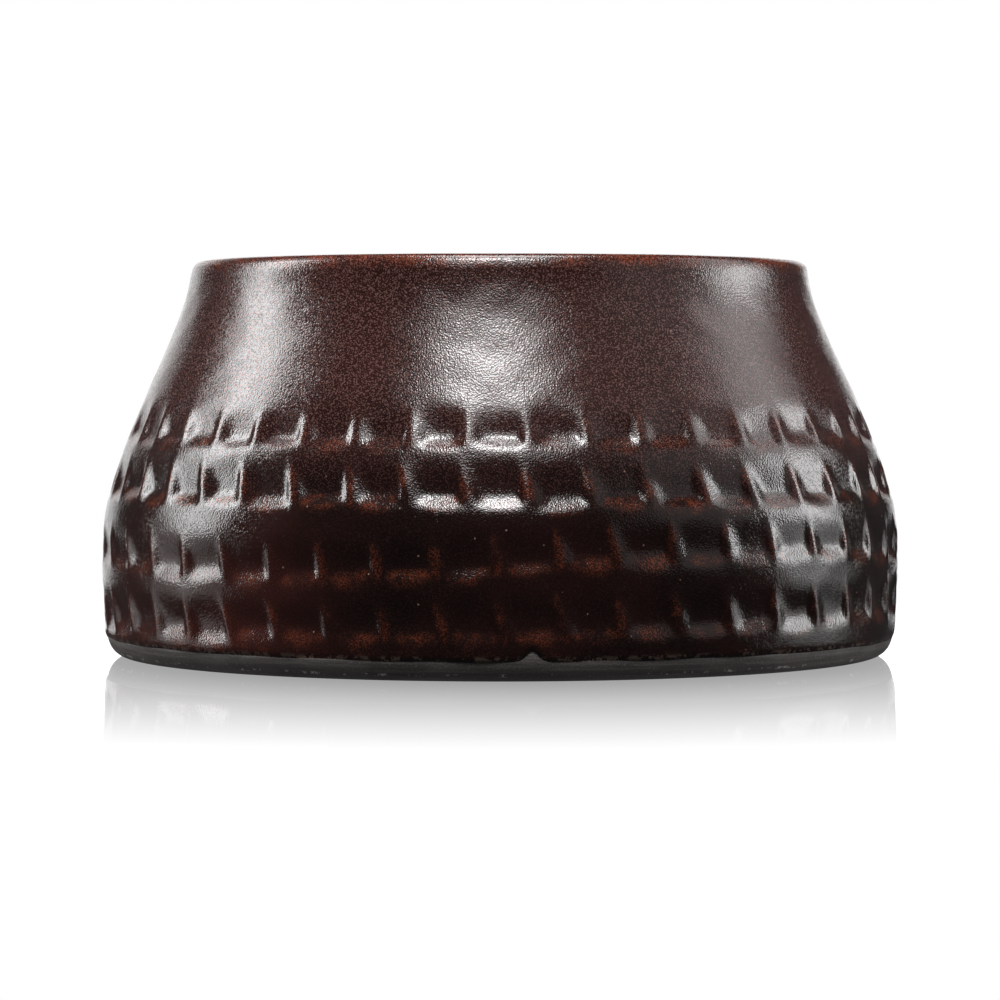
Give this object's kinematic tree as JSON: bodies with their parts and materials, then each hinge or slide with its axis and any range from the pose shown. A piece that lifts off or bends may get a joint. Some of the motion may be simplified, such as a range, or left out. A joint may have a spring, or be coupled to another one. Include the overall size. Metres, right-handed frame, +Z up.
{
  "type": "stoneware bowl",
  "caption": "Open glazed stoneware bowl, wide at the base and drawn in to a short neck, with bands of pressed square facets round the belly.",
  "frame": {"origin": "centre of the foot, on the plane the bowl stands on", "axes": "+Z up along the bowl's axis, -Y towards the front that was seen, +X to the right of that front"},
  "size_m": [0.2, 0.1998, 0.0985],
  "materials": {
    "bare_clay": "matte",
    "brown_glaze": "gloss"
  },
  "bodies": {
    "root": {"stoneware_body": "bare_clay", "glaze_coat": "brown_glaze"}
  },
  "joints": []
}
